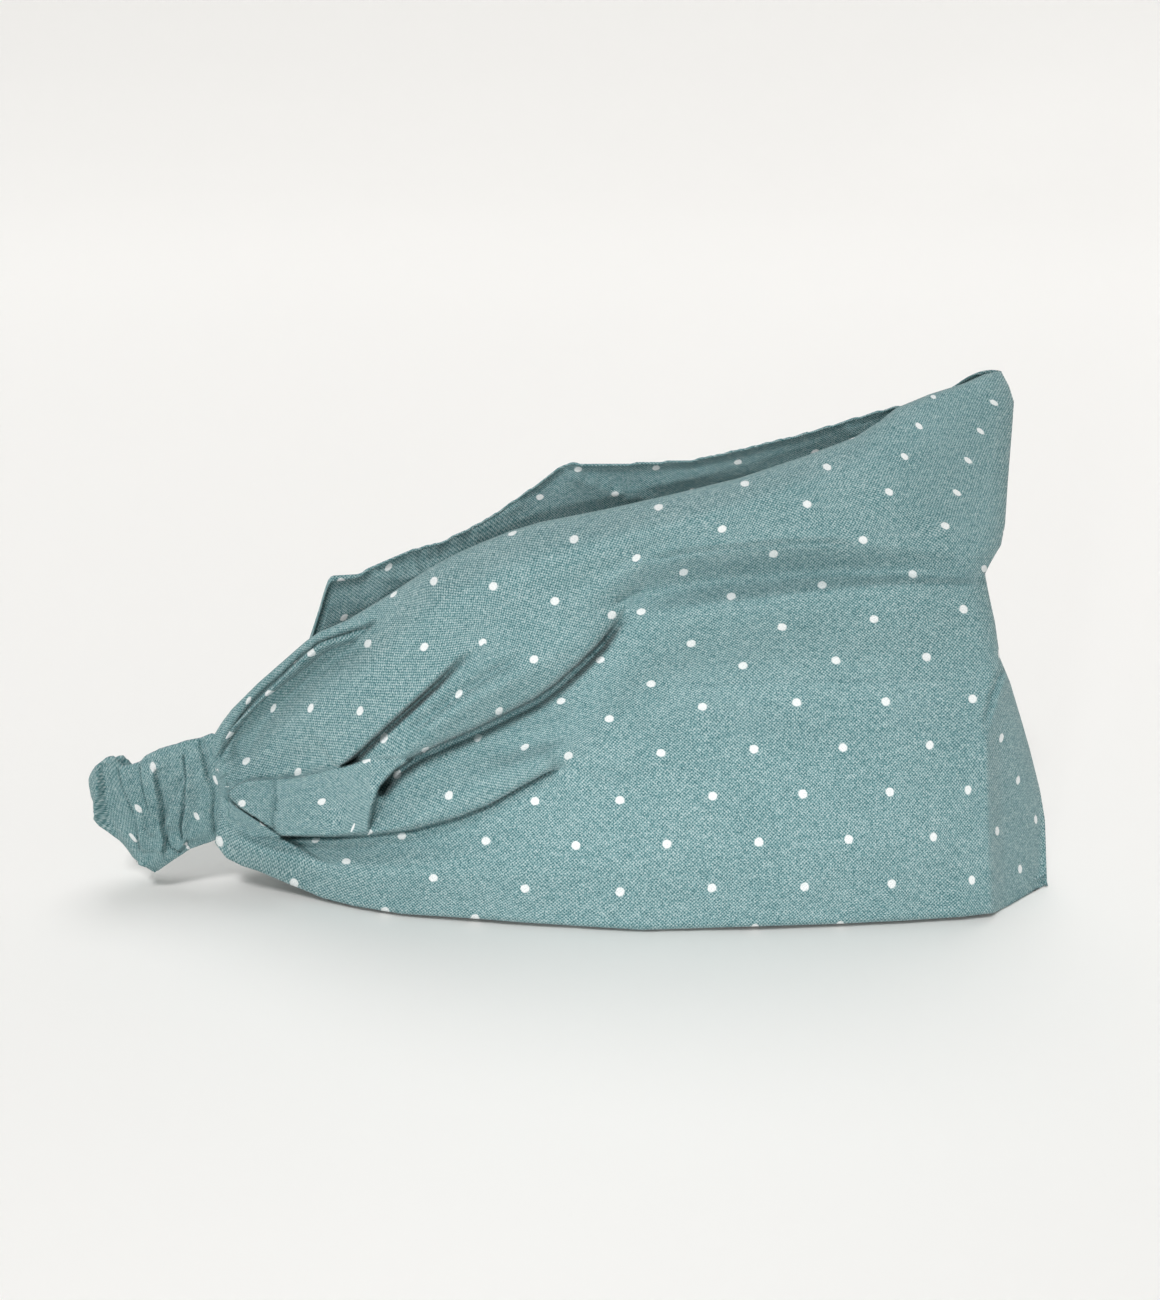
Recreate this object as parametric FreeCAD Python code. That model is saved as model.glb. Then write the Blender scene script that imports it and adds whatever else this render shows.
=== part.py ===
import FreeCAD, Part
import os
import math

os.makedirs("parts", exist_ok=True)

# Wide fabric headband with a ruched elastic casing, standing on its lower edge
# as a relaxed, flattened loop.  Millimetres.  +Z up, +X towards the front fold
# (the middle of the forehead when worn), -X towards the elastic casing (nape),
# -Y is the near side of the loop.  Origin: middle of the footprint, on the
# surface that the band stands on.

# ---- driving dimensions -------------------------------------------------
shift_x = 1.75            # moves the drawing so that the box is centred on the origin
shift_y = -2.25
cloth_t = 1.0             # each printed layer as built (cloth plus its soft folds)
layer_gap = 0.2           # air between the outer layer and the lining
split_y = 3.0             # plane of the front fold where the two sides meet
split_gap = 0.35          # half of the clearance between the two sides there
height = 124.3            # top of the front fold above the surface
end_x = -84.6             # where the gathered panel ends are sewn to the casing
lining_lift = 0.7         # the lining stops short of the lower edge

casing_h = 26.0           # ruched casing, width of the band it makes
casing_left = -115.87     # outermost point of the folded casing
casing_wall = 2.1         # ruched cloth each side of the elastic
elastic_t = 1.2           # braided elastic
elastic_w = 20.0
elastic_clear = 0.15
casing_tilt = 9.0         # the casing droops towards its fold
half_gap = 0.5            # half of the space between the two halves of the casing

thread = 0.5              # sewing thread as built

# plan of the outer face of each side, at the lower edge and at the top
near_low = [(-84.6, -4.0), (-74.0, -5.8), (-62.0, -8.6), (-44.6, -12.6),
            (-26.5, -16.0), (-11.6, -18.2), (13.8, -20.2), (41.5, -19.8),
            (62.5, -18.4), (81.4, -16.2), (95.9, -12.6), (106.5, -6.6),
            (112.6, -1.0), (114.0, 2.9)]
near_top = [(-84.6, -4.0), (-74.0, -4.4), (-62.0, -5.0), (-44.6, -6.6),
            (-26.5, -8.0), (-11.6, -8.8), (10.0, -9.4), (35.0, -9.2),
            (54.0, -8.6), (70.0, -7.4), (82.0, -5.4), (90.0, -2.8),
            (94.6, 0.2), (95.6, 2.9)]
far_low = [(-84.6, 8.0), (-74.0, 10.4), (-62.0, 13.4), (-44.6, 17.2),
           (-26.5, 20.5), (-11.6, 22.6), (13.8, 24.7), (41.5, 24.4),
           (62.5, 23.0), (81.4, 20.8), (95.9, 17.2), (106.5, 11.8),
           (112.6, 7.0), (114.0, 3.1)]
far_top = [(-84.6, 8.0), (-74.0, 10.0), (-62.0, 13.0), (-44.6, 16.2),
           (-26.5, 18.2), (-11.6, 19.2), (10.0, 19.8), (35.0, 19.4),
           (54.0, 18.2), (70.0, 16.0), (82.0, 12.8), (90.0, 9.4),
           (94.6, 6.0), (95.6, 3.1)]

# side view of each side: upper and lower outline
near_upper = [(-84.6, 37.0), (-81.0, 41.5), (-77.0, 46.0), (-74.0, 50.8),
              (-68.4, 56.4), (-62.8, 62.5), (-59.0, 65.3), (-52.5, 68.0),
              (-46.0, 71.5), (-40.3, 75.0), (-31.2, 81.4), (-22.2, 87.2),
              (-8.7, 93.0), (5.6, 96.8), (20.1, 100.2), (34.3, 103.7),
              (48.3, 108.2), (59.2, 111.5), (67.3, 114.9), (77.4, 118.6),
              (90.9, 124.3), (120.0, 124.3)]
far_upper = [(-84.6, 37.0), (-81.0, 44.0), (-74.0, 53.0), (-66.0, 64.0),
             (-58.8, 73.5), (-51.3, 76.0), (-42.1, 79.5), (-30.6, 83.9),
             (-19.2, 89.5), (-11.7, 94.5), (-4.2, 98.6), (7.0, 101.0),
             (21.8, 103.0), (36.5, 105.4), (51.2, 108.4), (65.7, 112.4),
             (79.4, 117.4), (90.9, 124.3), (120.0, 124.3)]
lower = [(-84.6, 11.0), (-80.0, 7.4), (-73.0, 3.6), (-66.0, 0.9),
         (-61.0, 0.0), (120.0, 0.0)]


def vec(x, y, z=0.0):
    return FreeCAD.Vector(x, y, z)


def densify(points, n=64):
    """Even samples of a smooth curve through the points, with unit tangents."""
    curve = Part.BSplineCurve()
    curve.interpolate([vec(x, y) for x, y in points])
    edge = curve.toShape()
    out = []
    for i in range(n):
        u = edge.getParameterByLength(edge.Length * i / (n - 1.0))
        p = edge.valueAt(u)
        t = edge.tangentAt(u)
        out.append((p.x, p.y, t.x, t.y))
    return out


def offset_curve(points, side, distance, n=40):
    """Smooth plan curve at a distance inwards; side +1 for near, -1 for far."""
    return [(x - side * distance * ty, y + side * distance * tx)
            for x, y, tx, ty in densify(points, n)]


def strip_wire(points, side, d0, d1, z):
    a = offset_curve(points, side, d0)
    b = offset_curve(points, side, d1)
    ca = Part.BSplineCurve()
    ca.interpolate([vec(x, y, z) for x, y in a])
    cb = Part.BSplineCurve()
    cb.interpolate([vec(x, y, z) for x, y in reversed(b)])
    ea = ca.toShape()
    eb = cb.toShape()
    e1 = Part.makeLine(vec(a[-1][0], a[-1][1], z), vec(b[-1][0], b[-1][1], z))
    e2 = Part.makeLine(vec(b[0][0], b[0][1], z), vec(a[0][0], a[0][1], z))
    return Part.Wire([ea, e1, eb, e2])


def wall(low, top, side, d0, d1, z0, z1):
    """Leaning wall between two plan curves, from z0 to z1 of the full height."""
    def mix(k):
        return [(a[0] + (b[0] - a[0]) * k, a[1] + (b[1] - a[1]) * k)
                for a, b in zip(low, top)]
    w0 = strip_wire(mix(z0 / height), side, d0, d1, z0)
    w1 = strip_wire(mix(z1 / height), side, d0, d1, z1)
    return Part.makeLoft([w0, w1], True, True)


def outline(upper, lift=0.0, drop=0.0):
    """Prism with the side view of the panel, used to trim the wall."""
    pts = [vec(x, -60, z - drop) for x, z in upper]
    pts += [vec(x, -60, z + lift) for x, z in reversed(lower)]
    pts.append(pts[0])
    face = Part.Face(Part.makePolygon(pts))
    return face.extrude(vec(0, 140, 0))


def place(shape):
    s = shape.copy()
    s.translate(vec(shift_x, shift_y, 0))
    return s


def save(name, shape):
    s = place(shape)
    solids = s.Solids
    if len(solids) == 1:
        s = solids[0]
    assert s.isValid(), name
    s.exportStep("parts/" + name + ".step")
    b = s.optimalBoundingBox(False, False)
    print("%-20s vol %9.1f  x %7.2f %7.2f  y %7.2f %7.2f  z %7.2f %7.2f  solids %d"
          % (name, s.Volume, b.XMin, b.XMax, b.YMin, b.YMax, b.ZMin, b.ZMax, len(solids)))


# ---- the two sides of the panel ------------------------------------------
near_outer = wall(near_low, near_top, 1, 0.0, cloth_t, 0.0, height).common(outline(near_upper))
near_lining = wall(near_low, near_top, 1, cloth_t + layer_gap, 2 * cloth_t + layer_gap,
                   0.0, height).common(outline(near_upper, lining_lift, 0.6))
far_outer = wall(far_low, far_top, -1, 0.0, cloth_t, 0.0, height).common(outline(far_upper))
far_lining = wall(far_low, far_top, -1, cloth_t + layer_gap, 2 * cloth_t + layer_gap,
                  0.0, height).common(outline(far_upper, lining_lift, 0.6))
near_half = Part.makeBox(300.0, 80.0, 160.0, vec(-150.0, split_y - split_gap - 80.0, -5.0))
far_half = Part.makeBox(300.0, 80.0, 160.0, vec(-150.0, split_y + split_gap, -5.0))
near_outer = near_outer.common(near_half)
near_lining = near_lining.common(near_half)
far_outer = far_outer.common(far_half)
far_lining = far_lining.common(far_half)
save("near_outer", near_outer)
save("near_lining", near_lining)
save("far_outer", far_outer)
save("far_lining", far_lining)

# ---- closing seam of the panel tube, just above the lower edge, inside ----
seam_z = 9.0
seam_d = 2 * cloth_t + layer_gap + 0.25
seam_box = Part.makeBox(190.0, 140.0, 20.0, vec(-80.0, -60.0, 0.0))
near_seam = wall(near_low, near_top, 1, seam_d, seam_d + thread,
                 seam_z, seam_z + thread).common(seam_box)
far_seam = wall(far_low, far_top, -1, seam_d, seam_d + thread,
                seam_z, seam_z + thread).common(seam_box)
near_seam = near_seam.common(near_half)
far_seam = far_seam.common(far_half)
save("near_tube_seam", near_seam)
save("far_tube_seam", far_seam)

# ---- rows of stitches that close each gathered panel end over the casing --
row_x = end_x + 2.4
row_z0 = 12.5
row_z1 = 36.0
near_row = Part.makeBox(thread, thread, row_z1 - row_z0, vec(row_x, -4.95, row_z0))
far_row = Part.makeBox(thread, thread, row_z1 - row_z0, vec(row_x, 9.15, row_z0))
save("near_end_stitch", near_row)
save("far_end_stitch", far_row)

# ---- bar tacks that hold the elastic ends, on the lining side -------------
tack_x = end_x + 3.6
near_tack = Part.makeBox(2.4, thread, 16.0, vec(tack_x, -1.35, 16.0))
far_tack = Part.makeBox(2.4, thread, 16.0, vec(tack_x, 5.1, 16.0))
save("near_elastic_tack", near_tack)
save("far_elastic_tack", far_tack)

# ---- ruched casing, folded back on itself, with the elastic inside --------
casing_t = 2 * casing_wall + elastic_t + 2 * elastic_clear
mid_y = 2.0


def u_strip(r_in, r_out, x_right, z0, z1):
    """Strip folded into a U in plan: two straight halves and a round fold."""
    cx = casing_left + half_gap + casing_t
    pts = []
    outer_a = vec(x_right, mid_y - r_out, z0)
    outer_b = vec(cx, mid_y - r_out, z0)
    outer_m = vec(cx - r_out, mid_y, z0)
    outer_c = vec(cx, mid_y + r_out, z0)
    outer_d = vec(x_right, mid_y + r_out, z0)
    inner_a = vec(x_right, mid_y - r_in, z0)
    inner_b = vec(cx, mid_y - r_in, z0)
    inner_m = vec(cx - r_in, mid_y, z0)
    inner_c = vec(cx, mid_y + r_in, z0)
    inner_d = vec(x_right, mid_y + r_in, z0)
    wire = Part.Wire([
        Part.makeLine(outer_a, outer_b),
        Part.Arc(outer_b, outer_m, outer_c).toShape(),
        Part.makeLine(outer_c, outer_d),
        Part.makeLine(outer_d, inner_d),
        Part.makeLine(inner_d, inner_c),
        Part.Arc(inner_c, inner_m, inner_b).toShape(),
        Part.makeLine(inner_b, inner_a),
        Part.makeLine(inner_a, outer_a)])
    return Part.Face(wire).extrude(vec(0, 0, z1 - z0))


def tilt(shape):
    s = shape.copy()
    s.rotate(vec(end_x, 0, 24.0), vec(0, 1, 0), -casing_tilt)
    return s


r0 = half_gap
r1 = half_gap + casing_t
zc = 24.0
body = u_strip(r0, r1, end_x - 2.6, zc - casing_h / 2, zc + casing_h / 2)
hollow = u_strip(r0 + casing_wall, r1 - casing_wall, end_x + 5.0,
                 zc - elastic_w / 2 - 0.4, zc + elastic_w / 2 + 0.4)
casing = tilt(body.cut(hollow))
elastic = tilt(u_strip(r0 + casing_wall + elastic_clear, r1 - casing_wall - elastic_clear,
                       end_x - 2.8, zc - elastic_w / 2, zc + elastic_w / 2))
# the casing's own seam runs along the middle of the side that lies against the head
casing_seam = tilt(u_strip(r0 - 0.4, r0 - 0.05, end_x - 3.0, zc - 0.25, zc + 0.25))
save("elastic_casing", casing)
save("elastic_strip", elastic)
save("casing_seam", casing_seam)
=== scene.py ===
import bpy
import math
import numpy as np
from mathutils import Vector, Matrix


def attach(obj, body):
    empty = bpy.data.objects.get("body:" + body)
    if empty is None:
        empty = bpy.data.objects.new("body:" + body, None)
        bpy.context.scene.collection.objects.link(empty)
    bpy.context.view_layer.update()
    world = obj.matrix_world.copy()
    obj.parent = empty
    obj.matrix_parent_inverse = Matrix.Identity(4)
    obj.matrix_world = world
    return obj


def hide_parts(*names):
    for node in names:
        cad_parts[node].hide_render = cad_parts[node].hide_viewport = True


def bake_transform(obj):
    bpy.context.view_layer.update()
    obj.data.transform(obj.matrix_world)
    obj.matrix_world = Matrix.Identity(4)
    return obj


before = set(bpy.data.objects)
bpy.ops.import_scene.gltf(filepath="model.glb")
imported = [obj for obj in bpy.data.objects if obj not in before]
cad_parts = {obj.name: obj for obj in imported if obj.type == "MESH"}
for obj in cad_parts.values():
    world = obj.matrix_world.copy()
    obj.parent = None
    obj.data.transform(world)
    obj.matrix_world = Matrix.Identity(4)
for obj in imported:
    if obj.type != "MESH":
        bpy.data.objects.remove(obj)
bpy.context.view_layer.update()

# Everything below is drawn in millimetres about the middle of the loop and then
# moved into the row frame, in metres, by SHIFT.
SHIFT = np.array([1.75, -2.25, 0.0])
rng = np.random.default_rng(7)

# ---- view of the reference picture ---------------------------------------
ELEV = math.radians(20.0)
DIST = 390.0
FPX = 1702.0
TARGET = np.array([0.0, 0.0, 61.0])
CX, CY = 580.0, 650.0
RIGHT = np.array([1.0, 0.0, 0.0])
UP = np.array([0.0, math.sin(ELEV), math.cos(ELEV)])
FWD = np.array([0.0, math.cos(ELEV), -math.sin(ELEV)])
EYE = TARGET - DIST * FWD


def project(P):
    q = P - EYE
    d = q @ FWD
    return CX + FPX * (q @ RIGHT) / d, CY - FPX * (q @ UP) / d


def at_y(x, y, Y):
    """Point of the ray through picture position (x, y) at depth Y."""
    d = FWD + ((x - CX) / FPX)[..., None] * RIGHT - ((y - CY) / FPX)[..., None] * UP
    k = (Y - EYE[1]) / d[..., 1]
    return EYE + k[..., None] * d


def smooth(t):
    t = np.clip(t, 0.0, 1.0)
    return t * t * (3 - 2 * t)


def line(points, x):
    p = np.array(points, float)
    return np.interp(x, p[:, 0], p[:, 1])


def soft_line(points, x, sigma=10.0, col=1):
    """The polyline as a function of x, rounded at its corners."""
    p = np.array(points, float)
    g = np.arange(120.0, 1140.0, 2.0)
    v = np.interp(g, p[:, 0], p[:, col])
    n = int(sigma * 3 / 2)
    k = np.exp(-0.5 * (np.arange(-n, n + 1) * 2.0 / sigma) ** 2)
    k /= k.sum()
    v = np.convolve(np.pad(v, n, mode="edge"), k, mode="valid")
    return np.interp(x, g, v)


def to_polyline(poly, X, Y):
    """distance, signed distance (above positive), place along, length; in picture units"""
    p = np.array(poly, float)
    best = np.full(X.shape, 1e9)
    sd = np.zeros(X.shape)
    along = np.zeros(X.shape)
    run = 0.0
    for a, b in zip(p[:-1], p[1:]):
        d = b - a
        L = math.hypot(*d)
        t = np.clip(((X - a[0]) * d[0] + (Y - a[1]) * d[1]) / (L * L), 0, 1)
        ex = X - (a[0] + t * d[0])
        ey = Y - (a[1] + t * d[1])
        dist = np.hypot(ex, ey)
        m = dist < best
        cr = d[0] * (Y - a[1]) - d[1] * (X - a[0])
        best = np.where(m, dist, best)
        sd = np.where(m, -np.sign(cr) * dist, sd)
        along = np.where(m, run + t * L, along)
        run += L
    return best, sd, along, run


def inside(poly, X, Y):
    p = np.array(poly, float)
    w = np.zeros(X.shape, bool)
    for a, b in zip(p, np.roll(p, -1, axis=0)):
        c = (a[1] > Y) != (b[1] > Y)
        with np.errstate(divide="ignore", invalid="ignore"):
            xi = (b[0] - a[0]) * (Y - a[1]) / (b[1] - a[1] + 1e-12) + a[0]
        w ^= c & (X < xi)
    return w


# ---- lattice noise, smooth and repeatable ---------------------------------
_tab = rng.random((64, 64))


def noise2(x, y):
    xi = np.floor(x).astype(int)
    yi = np.floor(y).astype(int)
    fx = x - xi
    fy = y - yi
    fx = fx * fx * (3 - 2 * fx)
    fy = fy * fy * (3 - 2 * fy)
    g = lambda a, b: _tab[a % 64, b % 64]
    return ((g(xi, yi) * (1 - fx) + g(xi + 1, yi) * fx) * (1 - fy)
            + (g(xi, yi + 1) * (1 - fx) + g(xi + 1, yi + 1) * fx) * fy) * 2 - 1


# ---- outlines of the near side in the picture ------------------------------
TOP = [(209, 747), (214, 735), (222, 722), (232, 709), (244, 697), (258, 683), (274, 669), (290, 655),
       (306, 641), (319, 632), (333, 626), (347, 620), (362, 611), (380, 600), (400, 587), (428, 569),
       (455, 554), (480, 543), (510, 531), (540, 522), (606, 509), (673, 494), (739, 478), (805, 456),
       (855, 437), (880, 421), (896, 408), (930, 394), (962, 384), (985, 374), (1001, 371)]
BOTTOM = [(215, 843), (226, 858), (242, 866), (258, 871), (274, 878), (306, 891), (322, 898), (354, 906),
          (402, 914), (466, 918), (530, 923), (578, 926), (642, 930), (706, 928), (770, 926), (834, 924),
          (898, 921), (962, 917), (994, 913), (1010, 905), (1020, 899), (1034, 891), (1047, 884)]
LEFT = [(215, 843), (218, 820), (218, 795), (214, 775), (209, 747)]
RIGHT_EDGE = [(1047, 884), (1046, 850), (1045, 820), (1040, 790), (1030, 750), (1022, 722), (1010, 682),
              (1000, 658), (995, 622), (989, 595), (985, 574), (991, 562), (1001, 545), (1005, 525),
              (1008, 480), (1012, 430), (1014, 402), (1009, 386), (1001, 371)]

# depth of the loop's near side: where its lower edge stands, and its top
YB = [(200, -3.0), (240, -3.6), (274, -4.0), (300, -4.6), (322, -6.2), (354, -9.8), (402, -13.4), (466, -16.0),
      (530, -18.0), (640, -20.6), (760, -19.4), (850, -17.9), (930, -16.0), (990, -13.8), (1050, -11.8)]
YT = [(200, -2.6), (260, -1.5), (330, -0.5), (400, -1.0), (480, -2.2), (600, -3.4), (740, -3.4), (860, -2.8),
      (900, -3.4), (940, -3.2), (970, -1.2), (1000, 2.6), (1050, 4.0)]

# long soft rises (+) and hollows (-), from the top down: (x, y, height in mm)
ROWS = [
    # crest of the big upper roll
    [(205, 762, 1.0), (240, 752, 1.5), (280, 735, 2.2), (325, 712, 4.0), (370, 668, 5.4), (425, 622, 6.2),
     (500, 577, 6.4), (560, 560, 6.2), (640, 536, 5.8), (720, 516, 5.4), (800, 492, 4.8), (880, 468, 3.6),
     (960, 444, 1.4), (1040, 420, 0.5)],
    # where the roll turns under
    [(205, 772, 0.8), (250, 772, 1.0), (300, 766, 1.6), (345, 757, 2.6), (379, 732, 3.6), (406, 708, 4.4),
     (436, 681, 4.8), (460, 657, 5.0), (484, 640, 5.0), (530, 618, 4.8), (590, 588, 4.4), (649, 556, 4.6),
     (689, 547, 4.8), (746, 541, 4.8), (792, 537, 4.6), (832, 537, 4.3), (880, 541, 3.4), (940, 549, 2.5),
     (1040, 556, 1.5)],
    # left: crest of the fold below it; right: the hollow
    [(205, 780, 0.6), (300, 790, 1.0), (350, 768, 1.5), (384, 748, 2.2), (420, 726, 3.4), (460, 702, 4.2),
     (500, 680, 4.4), (545, 654, 4.0), (590, 622, 3.4), (630, 598, 1.6), (690, 582, 0.2), (760, 575, -0.1),
     (830, 570, 0.1), (900, 572, 0.6), (985, 580, 1.0), (1040, 580, 1.0)],
    # left: behind the wide crease; right: long bright ridge
    [(205, 790, 0.6), (300, 812, 0.8), (367, 834, 0.4), (379, 800, 0.2), (400, 776, 0.0), (445, 750, -0.4),
     (505, 724, -0.6), (560, 692, -0.2), (600, 652, 0.8), (625, 624, 2.0), (656, 615, 3.0), (706, 607, 3.6),
     (746, 603, 3.9), (789, 597, 3.9), (839, 591, 3.7), (888, 588, 3.4), (938, 585, 2.8), (1040, 586, 1.2)],
    # left: crest of the tucked pleat; right: foot of the slope under the ridge
    [(205, 800, 0.6), (320, 828, 0.8), (372, 836, 1.0), (420, 815, 2.2), (470, 792, 2.6), (520, 768, 2.7),
     (560, 747, 2.7), (600, 716, 1.2), (640, 696, -0.4), (673, 688, -1.2), (726, 681, -1.5), (772, 679, -1.6),
     (872, 679, -1.3), (955, 678, -0.6), (1040, 678, 0.0)],
    # under the tucked pleat, running out to the right as a faint dip
    [(205, 812, 0.6), (283, 842, 0.2), (370, 842, -0.4), (412, 837, -0.2), (460, 825, 0.2), (490, 813, 0.4),
     (520, 797, 0.8), (544, 784, 1.1), (575, 772, 1.6), (620, 775, 1.9), (700, 766, 1.9), (800, 764, 1.9),
     (985, 760, 1.8), (1040, 758, 1.2)],
    # belly of the lower panel
    [(205, 826, 1.4), (260, 850, 2.6), (330, 868, 2.8), (400, 872, 2.8), (500, 868, 2.6), (620, 856, 2.6),
     (760, 846, 2.5), (880, 838, 2.4), (985, 832, 2.2), (1040, 830, 1.4)],
]

CREASE_1 = [(338, 772), (350, 763), (379, 736), (406, 712), (436, 685), (460, 661), (484, 644)]
CREASE_2 = [(369, 832), (374, 805), (381, 787), (395, 771), (415, 757), (445, 743), (475, 730), (505, 715),
            (535, 700), (556, 685), (580, 664), (601, 643), (619, 619), (628, 604)]
CREASE_3 = [(283, 837), (334, 837), (370, 835), (412, 830), (460, 817), (490, 805), (520, 788), (544, 775),
            (565, 764)]
TUCK_TOP = [(230, 786), (247, 779), (297, 776), (326, 769), (352, 762), (376, 757), (406, 756)]
FLAP = [(216, 790), (238, 806), (259, 820), (285, 838), (314, 855), (332, 864)]
TUCK = [(226, 792), (236, 784), (247, 779), (297, 776), (326, 769), (352, 762), (376, 757), (404, 756), (412, 760),
        (395, 771), (381, 787), (374, 805), (369, 833), (334, 837), (283, 837), (259, 820), (238, 806)]
HEM = [(213, 766), (222, 752), (231, 735), (243, 718), (256, 702), (270, 688), (284, 676), (304, 656),
       (321, 645), (346, 635), (366, 628), (384, 616)]
TURN = [(990, 916), (988, 850), (986, 780), (985, 720), (996, 690), (1003, 665), (1003, 650)]


def relief(X, Y):
    """How far the near side stands proud of its mean surface, in mm."""
    ys = [soft_line([(a, b) for a, b, c in r], X) for r in ROWS]
    rs = [soft_line([(a, c) for a, b, c in r], X) for r in ROWS]
    top = soft_line(TOP, X, 4.0)
    bot = soft_line(BOTTOM, X, 4.0)
    ys = [top - 2] + ys + [bot + 2]
    rs = [np.zeros(X.shape)] + rs + [np.zeros(X.shape) + 0.6]
    for k in range(1, len(ys)):
        ys[k] = np.maximum(ys[k], ys[k - 1] + 1.0)
    R = np.where(Y < ys[0], rs[0], 0.0)
    R = np.where(Y >= ys[-1], rs[-1], R)
    for k in range(len(ys) - 1):
        m = (Y >= ys[k]) & (Y < ys[k + 1])
        t = smooth((Y - ys[k]) / (ys[k + 1] - ys[k]))
        R = np.where(m, rs[k] + (rs[k + 1] - rs[k]) * t, R)
    R = R * 1.7 + 1.3 * smooth((X - 240.0) / 70.0)

    def groove(poly, depth, width, up=0.0, up_reach=30.0, dn=0.0, dn_reach=30.0, t0=0.0, t1=30.0, shift=0.0):
        d, sd, s, L = to_polyline(poly, X, Y)
        sd = sd - shift
        tap = np.ones(X.shape)
        if t0 > 0:
            tap = tap * smooth(s / t0)
        if t1 > 0:
            tap = tap * smooth((L - s) / t1)
        g = -depth * np.exp(-(sd / width) ** 2) * (d < 60)
        if up:
            g = g + (sd > 0) * up * np.exp(-d / up_reach) * (1 - np.exp(-(d / 1.6) ** 2))
        if dn:
            g = g + (sd <= 0) * dn * np.exp(-d / dn_reach) * (1 - np.exp(-(d / 1.6) ** 2))
        return tap * g

    # finished edge along the upper left, with a hollow inside it
    R = R + groove(HEM, 6.0, 16.0, t0=30.0, t1=40.0, shift=-16.0)
    R = R + groove(HEM, 3.0, 2.8, up=1.4, up_reach=14.0, t0=8.0, t1=24.0)
    R = R + groove([(312, 647), (330, 641), (358, 637)], 3.0, 2.6, t0=8.0, t1=10.0)
    R = R + groove([(214, 756), (224, 738), (238, 718), (256, 697), (280, 675)], 0.5, 1.6, t0=6.0, t1=20.0)
    # creases that run out of the gathers
    R = R + groove(CREASE_1, 8.0, 3.2, up=2.8, up_reach=26.0, t0=4.0, t1=90.0)
    R = R + groove([(400, 743), (430, 718), (457, 697), (500, 670), (540, 646)], 1.5, 7.0, dn=1.2, dn_reach=16.0,
                   t0=30.0, t1=50.0)
    R = R + groove(CREASE_2[2:], 10.0, 4.4, up=4.6, up_reach=28.0, t0=0.0, t1=60.0, shift=-2.0)
    R = R + groove([(612, 606), (622, 597), (634, 590), (650, 586)], 1.0, 2.6, up=0.6, t0=12.0, t1=14.0)
    R = R + groove([(486, 762), (515, 750), (556, 738), (590, 722)], 1.8, 10.0, t0=30.0, t1=40.0)
    R = R + groove(CREASE_3, 3.4, 2.0, up=3.0, up_reach=20.0, t0=0.0, t1=20.0)
    R = R + groove([(560, 764), (575, 757), (588, 768), (606, 774), (640, 770), (700, 763), (760, 762)], 0.7, 5.0,
                   t0=14.0, t1=60.0)
    R = R + groove([(566, 762), (572, 800), (574, 850)], 0.5, 9.0, t0=10.0, t1=60.0)
    R = R + groove([(620, 926), (626, 880), (634, 840)], 0.35, 10.0, t0=10.0, t1=60.0)
    R = R + groove([(640, 561), (689, 551), (746, 546), (792, 542), (832, 541), (862, 547)], 0.9, 3.0, up=0.7,
                   up_reach=18.0, t0=30.0, t1=30.0)
    R = R + groove([(660, 690), (726, 681), (772, 679), (872, 679), (960, 678)], 0.35, 3.0, dn=0.55, dn_reach=22.0,
                   t0=50.0, t1=20.0)
    R = R + groove([(1012, 655), (1002, 672), (994, 694), (988, 716), (985, 738)], 2.0, 4.0, up=1.6, up_reach=14.0,
                   t0=6.0, t1=26.0)
    # tuck in front of the creases
    m = inside(TUCK, X, Y)
    d = to_polyline(TUCK[:15], X, Y)[0]
    face = 6.4 - 0.034 * np.clip(300 - X, 0, 80) + 0.9 * np.exp(-((Y - 806) / 22.0) ** 2)
    d2 = to_polyline([(277, 779), (279, 795), (276, 812), (275, 830)], X, Y)[1]
    face = face - 1.8 * np.exp(-np.abs(d2) / 9.0) * (d2 < 0) - 0.3 * np.exp(-(d2 / 3.0) ** 2)
    k = np.where(m, smooth(d / 2.6), 0.0)
    join = np.maximum(smooth((X - 385.0) / 30.0) * smooth((775.0 - Y) / 14.0), smooth((262.0 - X) / 34.0))
    R = R * (1 - k) + np.maximum(face, R * join + face * (1 - join)) * k
    # lower front flap
    d, sd, s, L = to_polyline(FLAP, X, Y)
    tap = smooth((L - s) / 60.0) * smooth((s + 14.0) / 60.0)
    R = R + tap * ((sd < 0) * 3.0 * np.exp(-d / 24.0) * smooth(d / 2.0) - 0.5 * np.exp(-(sd / 2.0) ** 2) * (d < 30))
    # fine gathers fanning out of the seam
    ang = np.arctan2(Y - 795.0, X - 190.0)
    rad = np.hypot(X - 190.0, Y - 795.0)
    R = R + 0.9 * noise2(ang * 9.0, rad / 90.0) * np.exp(-np.clip(rad - 20, 0, None) / 60.0)
    R = R + 0.35 * noise2(ang * 22.0 + 7.0, rad / 60.0) * np.exp(-np.clip(rad - 20, 0, None) / 45.0)
    # slack of the cloth everywhere
    R = R + 0.30 * noise2(X / 70.0 + 3.1, Y / 45.0) + 0.16 * noise2(X / 30.0 + 9.0, Y / 26.0 + 4.0)
    R = R + 0.05 * noise2(X / 11.0, Y / 9.0)
    # ends pulled in at the casing
    R = R * (0.25 + 0.75 * smooth((X - 210.0) / 34.0))
    return np.maximum(R, -2.6 - 2.8 * smooth((X - 290.0) / 90.0))


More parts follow.
